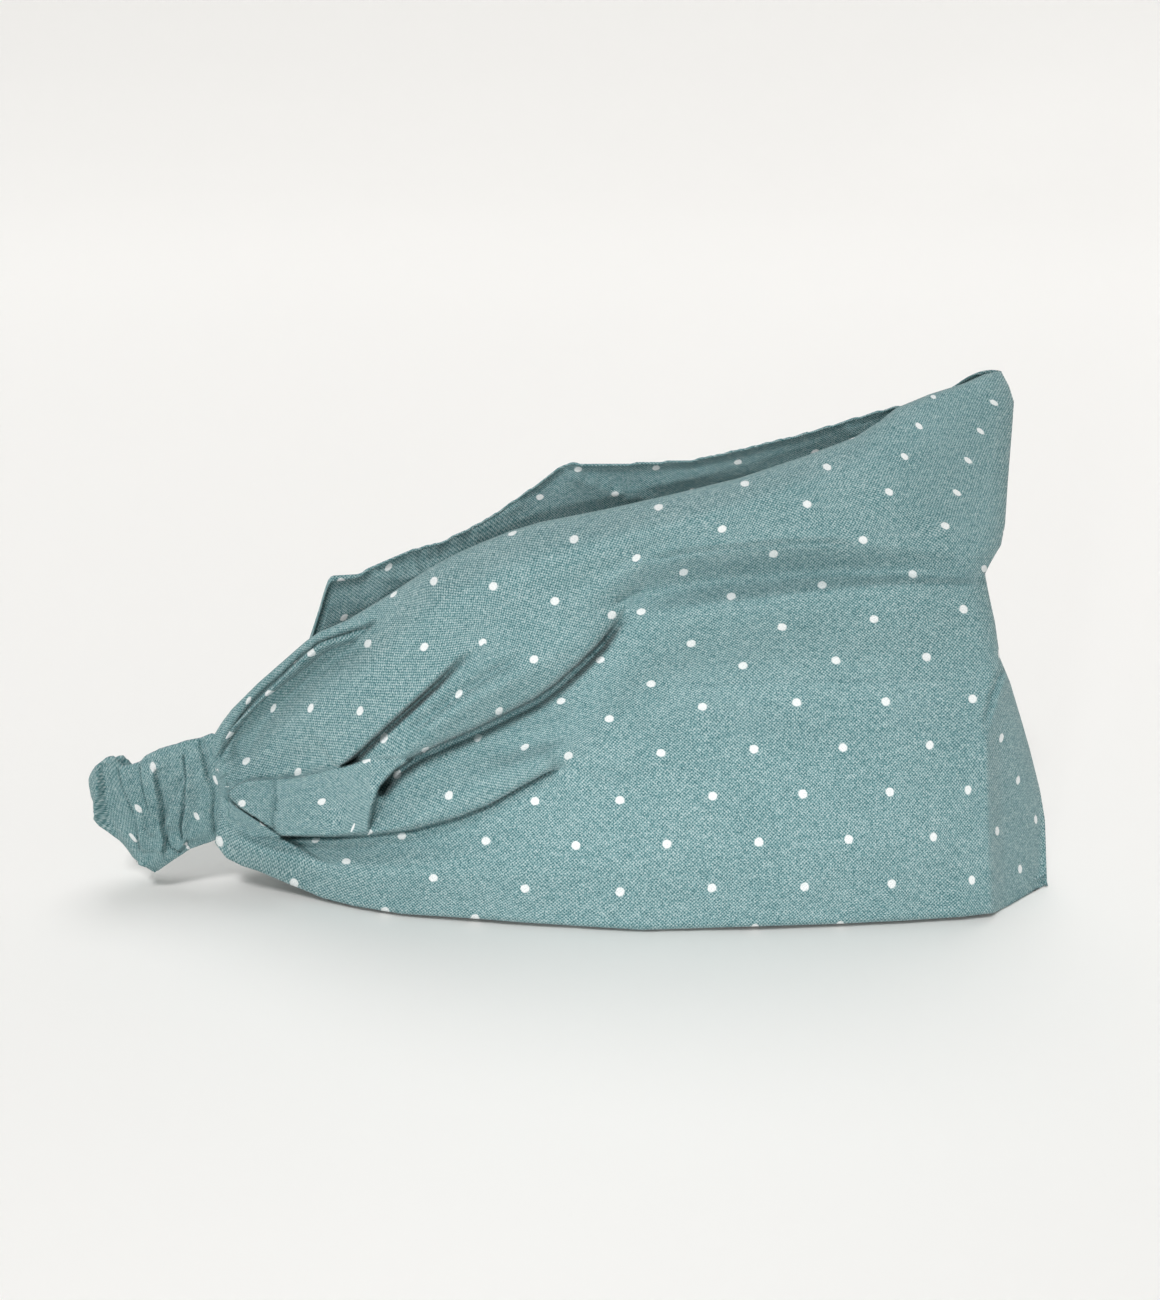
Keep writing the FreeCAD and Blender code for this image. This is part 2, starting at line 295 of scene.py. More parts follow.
# printed lattice: picture place of each dot, and its place in the staggered repeat
DOTS = [(620, 892, 0, 0), (712, 888, 2, 0), (805, 887, 4, 0), (892, 884, 6, 0), (973, 880, 8, 0), (525, 889, -2, 0),
        (433, 878, -4, 0), (346, 860.5, -6, 0), (385, 911, -5, -1), (475, 918, -3, -1), (755, 928, 3, -1),
        (840, 925, 5, -1), (294, 883, -7, -1), (219.5, 841, -9, -1), (316, 840, -7, 1), (402, 836, -5, 1),
        (486, 841, -3, 1), (576, 845.5, -1, 1), (667, 844, 1, 1), (759, 842, 3, 1), (849, 839.5, 5, 1),
        (934, 837, 7, 1), (1001, 831, 9, 1), (535, 801, -2, 2), (620, 800, 0, 2), (713, 796, 2, 2), (803, 794, 4, 2),
        (890, 792, 6, 2), (974.5, 790, 8, 2), (568, 754, -1, 3), (661, 752.5, 1, 3), (754, 749, 3, 3),
        (843, 747.5, 5, 3), (930, 745, 7, 3), (1010, 736, 9, 3), (525, 747, -2, 4), (609, 718, 0, 4),
        (702.5, 706, 2, 4), (797, 702, 4, 4), (886, 701.5, 6, 4), (973, 699, 8, 4), (561, 701, -1, 5),
        (651, 684, 1, 5), (743, 665, 3, 5), (836, 660, 5, 5), (927, 657, 7, 5), (999, 654, 9, 5), (600, 660, 0, 6),
        (691, 644, 2, 6), (782, 627, 4, 6), (874, 619, 6, 6), (967, 608, 8, 6), (641, 611, 1, 7), (731, 596, 3, 7),
        (822, 585, 5, 7), (913, 574, 7, 7), (684, 572, 2, 8), (774, 554, 4, 8), (864, 540, 6, 8), (946.5, 525, 8, 8),
        (723, 529, 3, 9), (808, 503.5, 5, 9), (890, 491, 7, 9), (957, 492.5, 9, 9), (658, 506, 2, 10),
        (744, 482, 4, 10), (827, 467, 6, 10), (905, 456, 8, 10), (968, 460, 10, 10), (919, 426, 9, 11),
        (980, 431, 11, 11), (991, 403, 12, 12), (637, 558, 1, 9), (574, 539, 0, 10), (612, 615, 0, 8),
        (555, 601, -1, 9), (509.5, 529, -1, 11), (493, 586, -2, 10), (534, 659.5, -2, 8), (433, 580, -3, 11),
        (483, 642, -3, 9), (393, 593, -4, 12), (424, 647, -4, 10), (367, 643, -5, 11), (326, 648, -6, 12),
        (360, 711, -6, 10), (310, 708, -7, 11), (298, 772, -8, 10), (272, 709, -8, 12), (249, 700.5, -9, 13),
        (246, 761, -9, 11), (499, 711, -3, 7), (459, 694, -4, 8), (384, 738, -6, 8), (366, 760, -7, 7),
        (322, 802, -8, 6), (242, 803.5, -10, 6), (478, 738, -3, 5), (449, 795.5, -4, 4), (397, 774, -5, 5),
        (345, 825, -7.5, 5.5), (300, 802, -8.49, 6.0), (369, 834, -6, 4), (1021, 869, 10, 0), (1011, 782, 10, 2), (1033, 819, 11, 1)]
WALLS = [CREASE_1, CREASE_2, CREASE_3, TUCK_TOP, FLAP]
FAR_DOTS = [(578, 469.5, 0, 0), (656, 468, 2, 0), (738, 462, 4, 0), (815, 452, 6, 0), (540, 497, -1, -1),
            (615, 494, 1, -1), (782, 437, 5, 1), (853, 415, 7, 1), (344, 617.5, -6, -2)]


def lattice(dots, walls, X, Y, sigma=70.0, default=((45.0, 0.0), (0.0, -46.0))):
    """Place in the repeat at each picture position, by a local fit that doesn't look across a crease."""
    D = np.array(dots, float)
    n = X.size
    x = X.ravel()
    y = Y.ravel()
    J = np.array(default, float)          # picture step per unit of U and of V
    K = np.linalg.inv(J)                  # U, V per picture step
    A = np.zeros((n, 3, 3))
    B = np.zeros((n, 3, 2))
    for dx, dy, u, v in D:
        ex = x - dx
        ey = y - dy
        r2 = ex * ex + ey * ey
        w = np.exp(-r2 / (2 * sigma * sigma)) / (r2 + 60.0) * 60.0
        near = r2 < 260.0 ** 2
        for wall in walls:
            for p, q in zip(wall[:-1], wall[1:]):
                o1 = (x - dx) * (p[1] - dy) - (y - dy) * (p[0] - dx)
                o2 = (x - dx) * (q[1] - dy) - (y - dy) * (q[0] - dx)
                s1 = (q[0] - p[0]) * (dy - p[1]) - (q[1] - p[1]) * (dx - p[0])
                s2 = (q[0] - p[0]) * (y - p[1]) - (q[1] - p[1]) * (x - p[0])
                hit = near & (o1 * o2 < 0) & (s1 * s2 < 0)
                w = np.where(hit, w * 1e-3, w)
        # unknowns: value at the vertex and its two slopes
        b = np.stack([np.ones(n), -ex / 46.0, -ey / 46.0], -1)
        A += w[:, None, None] * b[:, :, None] * b[:, None, :]
        B += w[:, None, None] * b[:, :, None] * np.array([u, v], float)[None, None, :]
    lam = 2e-3
    A[:, 1, 1] += lam
    A[:, 2, 2] += lam
    A[:, 0, 0] += 1e-9
    B[:, 1, :] += lam * K[0] * 46.0
    B[:, 2, :] += lam * K[1] * 46.0
    S = np.linalg.solve(A, B)
    return S[:, 0, :].reshape(X.shape + (2,))


# ---- near side -------------------------------------------------------------
NS, NT = 400, 210
ss = np.linspace(0, 1, NS)
tt = np.linspace(0, 1, NT)


def along_curve(points, k):
    p = np.array(points, float)
    d = np.r_[0, np.cumsum(np.hypot(*np.diff(p, axis=0).T))]
    d /= d[-1]
    return np.stack([np.interp(k, d, p[:, 0]), np.interp(k, d, p[:, 1])], -1)


def by_x(points, k):
    p = np.array(points, float)
    x = p[0, 0] + (p[-1, 0] - p[0, 0]) * k
    return np.stack([x, np.interp(x, p[:, 0], p[:, 1])], -1)


Bc = by_x(BOTTOM, ss)
Tc = by_x(TOP, ss)
Lc = along_curve(LEFT, tt)
Rc = along_curve(RIGHT_EDGE, tt)
S, T = np.meshgrid(ss, tt, indexing="ij")
G = ((1 - S)[..., None] * Lc[None] + S[..., None] * Rc[None]
     + (1 - T)[..., None] * Bc[:, None] + T[..., None] * Tc[:, None]
     - ((1 - S) * (1 - T))[..., None] * Bc[0] - (S * (1 - T))[..., None] * Bc[-1]
     - ((1 - S) * T)[..., None] * Tc[0] - (S * T)[..., None] * Tc[-1])
PX, PY = G[..., 0], G[..., 1]
yb = soft_line(YB, Bc[:, 0], 14.0)
yt = soft_line(YT, Tc[:, 0], 14.0)
ymain = (1 - T) * yb[:, None] + T * yt[:, None]
ymain = ymain - 2.2 * np.sin(np.pi * np.clip(T, 0, 1)) * smooth((PX - 300) / 200.0) * smooth((1000 - PX) / 120.0)
neck = np.where(PY < 556, np.exp(-((556 - PY) / 78.0) ** 2), np.exp(-((PY - 556) / 24.0) ** 2))
ymain = ymain + 3.6 * neck * smooth((PX - 860.0) / 100.0)
d, sd, s_, L_ = to_polyline(TURN, PX, PY)
edge_x = np.interp(PY, [560, 655, 665, 690, 720, 780, 850, 916, 930], [1010, 1003, 1003, 996, 985, 986, 988, 990, 991])
over = np.clip(PX - edge_x, 0, None) / 4.36
facet = 1.22 * over * smooth((PY - 640) / 60.0)
facet = np.sqrt(facet ** 2 + 0.6 ** 2) - 0.6
rel = relief(PX, PY)
rel = rel * (1 - 0.7 * smooth(over / 4.0) * smooth((PY - 640) / 60.0))


def turn_away(q, r):
    """Depth lost towards a rounded edge of radius r, q mm inside it."""
    k = np.clip(1 - q / r, 0, 1)
    return r * (1 - np.sqrt(np.clip(1 - k * k, 0, 1)))


q_top = (PY - np.array([np.interp(px, [p[0] for p in TOP], [p[1] for p in TOP]) for px in PX.ravel()]).reshape(PX.shape))
q_top = np.clip(q_top, 0, None) / 4.36 * 0.9
r_top = np.interp(PX, [209, 240, 300, 360, 420, 600, 900, 1000], [1.6, 1.0, 0.9, 2.0, 6.0, 6.5, 5.0, 3.0])
q_bot = np.clip(np.interp(PX, [p[0] for p in BOTTOM], [p[1] for p in BOTTOM]) - PY, 0, None) / 4.36
q_right = np.clip(np.interp(PY, [p[1] for p in RIGHT_EDGE[::-1]], [p[0] for p in RIGHT_EDGE[::-1]]) - PX, 0, None) / 4.5
q_left = np.clip(PX - np.interp(PY, [p[1] for p in LEFT[::-1]], [p[0] for p in LEFT[::-1]]), 0, None) / 4.2
lost = turn_away(q_top, r_top) + turn_away(q_bot, 1.5) + turn_away(q_right, 4.5) + turn_away(q_left, 1.3)
z_at0, z_at10 = at_y(PX, PY, 0 * PX)[..., 2], at_y(PX, PY, 0 * PX + 10.0)[..., 2]
y_floor = 10.0 * z_at0 / (z_at0 - z_at10)        # where the line of sight meets the floor
cap = 1.6 + 0.25 * np.clip((884.0 - PY) / 4.36, 0, None)      # the far edge of the end face stands nearly upright


def soft_min(a, b, r=1.2):
    return 0.5 * (a + b - np.sqrt((a - b) ** 2 + r * r))


near_y = np.minimum(soft_min(ymain + facet - rel + lost, cap + 0 * PX), y_floor)
near_p = at_y(PX, PY, near_y)
near_p[..., 2] = np.maximum(near_p[..., 2], 0.0)
uv_near = lattice(DOTS, WALLS, PX, PY)
# a cloth's print is regular along the cloth, not along the picture: add what the rounded top edge hides
k_top = np.clip(1 - q_top / r_top, 0, 1)
uv_near[..., 1] += 0.8 * r_top * (np.arcsin(k_top) - k_top) / 10.2
# and carry it round the end face by length of cloth
C0 = NS - 46
flat_n = at_y(PX, PY, np.minimum(soft_min(ymain + facet + lost, cap), y_floor))
arc_n = np.linalg.norm(np.diff(flat_n[C0:, :, :2], axis=0), axis=2)
arc_n = np.concatenate([np.zeros((1, NT)), np.cumsum(arc_n, axis=0)], 0) / 10.2
gain = np.interp(np.arange(NT), [0, 28, 46, 66, 94, 120], [1.13, 1.18, 1.20, 0.92, 0.94, 1.0])
gk = np.exp(-0.5 * (np.arange(-30, 31) / 10.0) ** 2)
gain = np.convolve(np.pad(gain, 30, mode="edge"), gk / gk.sum(), mode="valid")
u_arc = uv_near[C0, :, 0][None] + arc_n * gain[None]
w_arc = smooth((np.arange(C0, NS) - C0) / 16.0)[:, None] * smooth((PY[C0:] - 600.0) / 50.0)
uv_near[C0:, :, 0] = uv_near[C0:, :, 0] * (1 - w_arc) + u_arc * w_arc

# ---- far side ---------------------------------------------------------------
NF = 300
FAR_LOW = [(-84.6, 9.2), (-74.0, 11.0), (-62.0, 13.6), (-44.6, 17.2), (-26.5, 20.5), (-11.6, 22.6), (13.8, 24.5),
           (41.5, 24.2), (62.5, 23.0), (81.4, 20.8), (95.9, 17.2), (114.0, 15.0)]
FAR_HIGH = [(-84.6, 9.0), (-74.0, 10.0), (-62.0, 13.0), (-44.6, 16.2), (-26.5, 18.6), (-11.6, 19.6), (10.0, 20.0),
            (35.0, 19.8), (54.0, 19.4), (70.0, 18.4), (82.0, 16.4), (90.0, 14.4), (96.0, 12.4), (114.0, 11.0)]
FAR_TOP = [(-84.6, 35.5), (-81.0, 42.0), (-74.0, 51.0), (-66.0, 62.0), (-60.5, 71.5), (-57.5, 74.2), (-51.3, 75.6),
           (-42.1, 78.6), (-30.6, 83.2), (-19.2, 88.6), (-11.7, 94.0), (-4.2, 99.4), (7.0, 100.8), (21.8, 102.8),
           (36.5, 105.2), (51.2, 108.2), (65.7, 112.2), (79.4, 117.2), (91.0, 124.0), (120.0, 124.0)]
FAR_BOTTOM = [(-84.6, 11.0), (-80.0, 7.4), (-73.0, 3.6), (-66.0, 0.9), (-61.0, 0.0), (120.0, 0.0)]

FAR_SIL = [(200, 775), (222, 740), (244, 716), (270, 690), (296, 664), (306, 650), (313, 628), (322, 600), (329, 575),
           (345, 573), (357, 573), (385, 560), (417, 547), (443, 540), (477, 523), (497, 511), (537, 483),
           (560, 465), (568, 462), (617, 463), (691, 459), (746, 447), (802, 433), (848, 419), (895, 405),
           (930, 404), (962, 398), (988, 390), (1001, 387), (1060, 385)]
_fx = np.arange(-90.0, 118.0, 1.0)
_fz = []
for _x in _fx:
    _yf = np.interp(_x, [p[0] for p in FAR_HIGH], [p[1] for p in FAR_HIGH])
    _best = None
    for _z in np.arange(20.0, 132.0, 0.4):
        _px, _py = project(np.array([_x, _yf, _z]))
        _d = abs(_py - np.interp(_px, [p[0] for p in FAR_SIL], [p[1] for p in FAR_SIL]))
        if _best is None or _d < _best[0]:
            _best = (_d, _z)
    _fz.append(_best[1])
FAR_TOP = [(float(a), float(b)) for a, b in zip(_fx, _fz)]

last = near_p[-1]                                   # the silhouette column
kf = np.linspace(0, 1, NF + 1)[1:]
turn_n = 46
X_f = np.zeros((NF, NT))
Y_f = np.zeros((NF, NT))
Z_f = np.zeros((NF, NT))
w_turn = 15.0 - 5.0 * tt
for j in range(NT):
    xs = last[j, 0]
    w = w_turn[j]
    th = np.linspace(0, math.pi / 2, turn_n + 1)[1:]
    x1 = xs - w * (1 - np.cos(th))
    rest = np.linspace(x1[-1], -84.6, NF - turn_n + 1)[1:]
    x = np.r_[x1, rest]
    zt = np.interp(x, [p[0] for p in FAR_TOP], [p[1] for p in FAR_TOP])
    zb = np.interp(x, [p[0] for p in FAR_BOTTOM], [p[1] for p in FAR_BOTTOM])
    z = zb + (zt - zb) * tt[j]
    m = smooth((xs - x) / (45.0 - 29.0 * tt[j]))
    z = last[j, 2] * (1 - m) + z * m
    lo = soft_line([(a * 4 + 580, b) for a, b in FAR_LOW], x * 4 + 580, 24.0)
    hi = soft_line([(a * 4 + 580, b) for a, b in FAR_HIGH], x * 4 + 580, 24.0)
    face = lo + (hi - lo) * tt[j] + 1.5 * math.sin(math.pi * tt[j])
    y0 = last[j, 1]
    y = face.copy()
    y[:turn_n] = y0 + (face[:turn_n] - y0) * np.sin(th)
    X_f[:, j], Y_f[:, j], Z_f[:, j] = x, y, z
mirror = np.stack([X_f * 0.985 - 1.5, np.full(X_f.shape, -10.0), Z_f * 0.96 + 1.0], -1)
mx, my = project(mirror)
mx = 230.0 + (mx - 209.0) * 0.94 + 22.0 * np.sin(my / 75.0)
my = my - 16.0 + 20.0 * np.sin(mx / 120.0 + 0.6)
rel_f = 0.75 * np.maximum(relief(mx, my), -0.9) * smooth((last[None, :, 0] - X_f) / 20.0)
q_topf = np.clip((1 - tt)[None, :] * 100.0, 0, None)
lost_f = turn_away(q_topf, 0.8) + turn_away(tt[None, :] * 100.0, 1.5) + turn_away((X_f + 84.6), 1.3)
Y_f = Y_f + rel_f * 0.8 * smooth((1.02 - tt)[None, :] / 0.16) - lost_f
far_p = np.stack([X_f, Y_f, Z_f], -1)
kern = np.exp(-0.5 * (np.arange(-24, 25) / 9.0) ** 2)
kern /= kern.sum()
edge_uv = np.stack([np.convolve(np.pad(uv_near[-1][:, i], 24, mode="reflect", reflect_type="odd"), kern, mode="valid")
                    for i in (0, 1)], -1)
soften = smooth((np.arange(NS) - (NS - 26)) / 25.0)[:, None, None]
uv_near = uv_near + soften * (edge_uv[None] - uv_near[-1][None])
plain = np.stack([X_f, Y_f + lost_f - rel_f * 0.8 * smooth((1.02 - tt)[None, :] / 0.16), Z_f], -1)
step = np.linalg.norm(np.diff(np.concatenate([flat_n[-1][None], plain], 0)[..., :2], axis=0), axis=2)
run_f = np.cumsum(step, axis=0)
uv_far = np.stack([edge_uv[None, :, 0] + run_f / 10.2, edge_uv[None, :, 1] + (Z_f - last[None, :, 2]) / 10.2], -1)
relax = smooth(run_f / 70.0)[..., None]
square = np.stack([uv_far[..., 0].mean(1)[:, None] + (X_f.mean(1)[:, None] - X_f) / 10.2,
                   (edge_uv[:, 1] - last[:, 2] / 10.2).mean() + Z_f / 10.2], -1)
uv_far = uv_far * (1 - relax) + square * relax

outer_p = np.concatenate([near_p, far_p], 0)
outer_uv = np.concatenate([uv_near, uv_far], 0)
NC = outer_p.shape[0]

# inward direction of each column, in plan
mid = outer_p[:, NT // 2, :2].copy()
k = np.exp(-0.5 * (np.arange(-20, 21) / 8.0) ** 2)
k /= k.sum()
mid = np.stack([np.convolve(np.pad(mid[:, i], 20, mode="edge"), k, mode="valid") for i in (0, 1)], -1)
tan = np.gradient(mid, axis=0)
tan /= np.linalg.norm(tan, axis=1)[:, None] + 1e-9
inw = np.stack([-tan[:, 1], tan[:, 0]], -1)
inw = np.stack([np.convolve(np.pad(inw[:, i], 20, mode="edge"), k, mode="valid") for i in (0, 1)], -1)
inw /= np.linalg.norm(inw, axis=1)[:, None]
inw3 = np.c_[inw, np.zeros(NC)]
axis_z = np.array([0, 0, 1.0])
c20, s20 = math.cos(ELEV), math.sin(ELEV)
fdir = inw3 * c20 - axis_z * s20
udir = inw3 * s20 + axis_z * c20
colx = outer_p[:, 0, 0]
rho_top = np.interp(np.arange(NC), [0, 20, 60, 100, NS - 60, NS, NS + 40, NC - 60, NC - 1],
                    [2.6, 2.0, 1.3, 2.6, 2.6, 0.7, 0.35, 0.35, 2.0])
rho_bot = np.interp(np.arange(NC), [0, 20, 60, NC - 60, NC - 1], [2.6, 1.8, 1.4, 1.4, 2.6])


def roll(edge, rho, up, phis, sign):
    out = []
    for ph in phis:
        out.append(edge + rho[:, None] * ((math.cos(ph) - 1) * sign * up + math.sin(ph) * fdir))
    return out


tops = roll(outer_p[:, -1], rho_top, udir, np.radians([18, 38, 60, 85, 110, 135, 160]), 1.0)
bots = roll(outer_p[:, 0], rho_bot, axis_z[None] * np.ones((NC, 1)), np.radians([25, 55, 90, 125, 155]), -1.0)
for b in bots:
    b[:, 2] = np.maximum(b[:, 2], 0.0)
full = np.concatenate([np.stack(bots[::-1], 1), outer_p, np.stack(tops, 1)], 1)
gs_t = np.cumsum([np.linalg.norm(tops[0] - outer_p[:, -1], axis=1)]
                 + [np.linalg.norm(b - a, axis=1) for a, b in zip(tops[:-1], tops[1:])], axis=0) / 10.2
gs_b = np.cumsum([np.linalg.norm(bots[0] - outer_p[:, 0], axis=1)]
                 + [np.linalg.norm(b - a, axis=1) for a, b in zip(bots[:-1], bots[1:])], axis=0) / 10.2
uv_t = np.stack([outer_uv[:, -1] + np.stack([0 * g, g], -1) for g in gs_t], 1)
uv_b = np.stack([outer_uv[:, 0] - np.stack([0 * g, g], -1) for g in gs_b[::-1]], 1)
full_uv = np.concatenate([uv_b, outer_uv, uv_t], 1)

# ---- lining -----------------------------------------------------------------
NL = 84
tl = np.linspace(0, 1, NL)
lo = bots[-1]
hi = tops[-1]
base_near = at_y(PX, PY, np.minimum(soft_min(ymain + facet + lost, cap), y_floor))
base_far = np.stack([X_f, Y_f - rel_f * 0.8 * smooth((1.02 - tt)[None, :] / 0.16), Z_f], -1)
base = np.concatenate([base_near, base_far], 0)
jj = tl * (NT - 1)
j0 = np.clip(jj.astype(int), 0, NT - 2)
fr = (jj - j0)[None, :, None]
base = base[:, j0] * (1 - fr) + base[:, j0 + 1] * fr
edge_k = np.minimum(np.arange(NC), NC - 1 - np.arange(NC))
gap_in = 3.3 + 2.7 * smooth((edge_k - 20.0) / 60.0)
wob = 0.45 * noise2(np.arange(NC)[:, None] / 30.0 + 2.0, tl[None] * 5.0) \
    + 0.25 * noise2(np.arange(NC)[:, None] / 14.0 + 5.0, tl[None] * 9.0 + 2)
is_far = smooth((np.arange(NC) - NS + 10) / 70.0)
gap_in = gap_in * (1 - is_far) + 0.7 * is_far
end_open = 1 - smooth((NC - 1 - np.arange(NC) - 8) / 26.0)
near_open = 1 - smooth((np.arange(NC) - 14.0) / 26.0)
gap_in = gap_in + 3.9 * end_open + 1.7 * near_open
# the lining is drawn up into gathers towards both ends
pull = smooth((175.0 - edge_k) / 150.0)[:, None]
ang = tl[None] * 2 * math.pi * 6.5 + 1.4 * noise2(np.arange(NC)[:, None] / 40.0 + 1.0, tl[None] * 3.0)
wob = wob * (1 - 0.4 * is_far[:, None]) + pull * (1 - 0.75 * is_far[:, None] * smooth((tl[None] - 0.45) / 0.3)) * 1.15 * (1 - np.abs(np.sin(ang / 2.0)) ** 0.8) * 2.0
# folds seen on the inside of the far half
wob = wob * (1 - 0.75 * end_open[:, None])
bx, by = project(base)


def fold_at(poly, height, reach, edge=2.0, t0=20.0, t1=30.0):
    d_, sd_, s_q, L_q = to_polyline(poly, bx, by)
    return height * smooth(s_q / t0) * smooth((L_q - s_q) / t1) * (sd_ < 0) * np.exp(-d_ / reach) \
        * smooth(d_ / edge)


inner = fold_at([(560, 462), (590, 474), (628, 488), (664, 492)], 2.6, 16.0)
inner = inner + fold_at([(365, 566), (395, 567), (424, 565), (450, 556), (480, 540)], 3.6, 26.0)
inner = inner + fold_at([(400, 552), (440, 541), (480, 522), (540, 486)], 1.6, 9.0)
inner = inner + fold_at([(842, 424), (868, 420), (900, 408)], 1.8, 12.0, t0=10.0, t1=16.0)
inner = inner + fold_at([(640, 478), (700, 470), (770, 462), (830, 446)], 1.1, 10.0)
wob = wob + inner * is_far[:, None]
lin = base + inw3[:, None] * (gap_in[:, None] + 0.5 + wob)[..., None]
k_lo = (1 - smooth(tl / 0.16))[None, :, None]
k_hi = smooth((tl - 0.84) / 0.16)[None, :, None]
lin = lin + (lo - lin[:, 0])[:, None] * k_lo + (hi - lin[:, -1])[:, None] * k_hi
lin[..., 2] = np.maximum(lin[..., 2], 0.0)
lx, ly = project(lin)
uv_ln = np.stack([lin[..., 0] / 10.2, lin[..., 2] / 10.2], -1)
uv_lf = lattice(FAR_DOTS, [], lx, ly, sigma=120.0, default=((39.0, -6.0), (8.0, -30.0)))
mixl = smooth((np.arange(NC) - NS - 10) / 20.0)[:, None, None]
lin_uv = uv_ln * (1 - mixl) + uv_lf * mixl


# ---- meshes -------------------------------------------------------------------
def grid_mesh(name, P, UV, flip=False, wrap=False):
    a, b = P.shape[:2]
    verts = ((P + SHIFT) / 1000.0).reshape(-1, 3)
    i = np.arange(a - (0 if wrap == "rows" else 1))
    j = np.arange(b - 1)
    I, Jm = np.meshgrid(i, j, indexing="ij")
    v0 = (I * b + Jm).ravel()
    v1 = (((I + 1) % a) * b + Jm).ravel()
    v2 = (((I + 1) % a) * b + Jm + 1).ravel()
    v3 = (I * b + Jm + 1).ravel()
    F = np.stack([v0, v1, v2, v3], -1)
    if flip:
        F = F[:, ::-1]
    me = bpy.data.meshes.new(name)
    me.from_pydata(verts.tolist(), [], F.tolist())
    lay = me.uv_layers.new(name="print")
    idx = np.zeros(len(me.loops), np.int32)
    me.loops.foreach_get("vertex_index", idx)
    lay.data.foreach_set("uv", UV.reshape(-1, 2)[idx].astype(np.float32).ravel())
    me.polygons.foreach_set("use_smooth", np.ones(len(me.polygons), bool))
    me.update()
    o = bpy.data.objects.new(name, me)
    bpy.context.scene.collection.objects.link(o)
    return o


def set_blend(o):
    """Bake the object's placement into its mesh."""
    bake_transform(o)


plan = np.r_[0, np.cumsum(np.linalg.norm(np.diff(mid, axis=0), axis=1))]
plan = plan - plan[NS]

outer = grid_mesh("panel_outer", full, full_uv)
set_blend(outer)
lining = grid_mesh("panel_lining", lin, lin_uv, flip=True)
set_blend(lining)
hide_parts("near_outer", "far_outer")
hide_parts("near_lining", "far_lining")

# ---- ruched casing ----------------------------------------------------------
# A flat tube of cloth round the elastic, folded back on itself. It is laid out
# straight first (distance a, place psi round the tube) and then fitted to the
# slanting outline of the folded stub.
CY0, CR = 2.3, 3.9                       # centre of the fold and radius of its middle line, in plan
RUN = 27.0
ARC = math.pi * CR
A_TOT = 2 * RUN + ARC
CAS_TOP = [(217, 738), (210, 736), (198, 741), (183, 744), (170, 748), (157, 752), (143, 759), (139, 764), (128, 768),
           (121, 769), (116, 763), (111, 759), (105, 760), (100, 765), (90, 770)]
CAS_BOT = [(219, 841), (208, 845), (190, 851), (170, 864), (156, 874), (147, 878)]
CAS_LEFT = [(147, 878), (130, 864), (115, 841), (102, 819), (93, 800), (89, 782), (90, 770)]
CAS_RIGHT = [(219, 841), (220, 820), (220, 795), (218, 765), (217, 738)]
GU, GV = 60, 60


def coons(top, bot, left, right):
    ku = np.linspace(0, 1, GU)
    kv = np.linspace(0, 1, GV)
    t_, b_ = along_curve(top, ku), along_curve(bot, ku)
    l_, r_ = along_curve(left, kv), along_curve(right, kv)
    U_, V_ = np.meshgrid(ku, kv, indexing="ij")
    return ((1 - U_)[..., None] * r_[None] + U_[..., None] * l_[None] + (1 - V_)[..., None] * b_[:, None]
            + V_[..., None] * t_[:, None] - ((1 - U_) * (1 - V_))[..., None] * r_[0]
            - (U_ * (1 - V_))[..., None] * l_[0] - ((1 - U_) * V_)[..., None] * r_[-1] - (U_ * V_)[..., None] * l_[-1])


patch_px = coons(CAS_TOP, CAS_BOT, CAS_LEFT, CAS_RIGHT)
patch = at_y(patch_px[..., 0], patch_px[..., 1], np.full((GU, GV), CY0 - CR - 1.6))


def from_patch(field, u, v):
    uu = np.clip(u, 0, 1) * (GU - 1)
    vv = np.clip(v, 0, 1) * (GV - 1)
    i0 = np.clip(uu.astype(int), 0, GU - 2)
    j0_ = np.clip(vv.astype(int), 0, GV - 2)
    fu, fv_ = uu - i0, vv - j0_
    return (field[i0, j0_] * (1 - fu) * (1 - fv_) + field[i0 + 1, j0_] * fu * (1 - fv_)
            + field[i0, j0_ + 1] * (1 - fu) * fv_ + field[i0 + 1, j0_ + 1] * fu * fv_)


def casing_mid(a, v):
    """Middle sheet of the folded stub at distance a and height share v, with its outward normal in plan."""
    th_ = np.clip((a - RUN) / CR, 0, math.pi)
    back = smooth((a - RUN) / ARC)
    run_x = np.where(a < RUN, a, np.where(a > RUN + ARC, 2 * RUN + ARC - a, RUN + CR * np.sin(th_)))
    u = run_x / (RUN + CR)
    x = from_patch(patch[..., 0], u, v)
    tuck = np.clip(-run_x, 0, None)      # the ends, sewn in between outer and lining
    v = 0.5 + (v - 0.5) * (1 - 0.24 * smooth(tuck / 3.0))
    x = x + tuck
    z = from_patch(patch[..., 2], u, v)
    z = z - 3.1 * back * np.clip(v, 0, 1) - 0.3 * back
    y = CY0 - CR * np.cos(th_) + 2.8 * smooth(tuck / 2.5) * (a < RUN)
    return x, y, z, -np.sin(th_), -np.cos(th_)


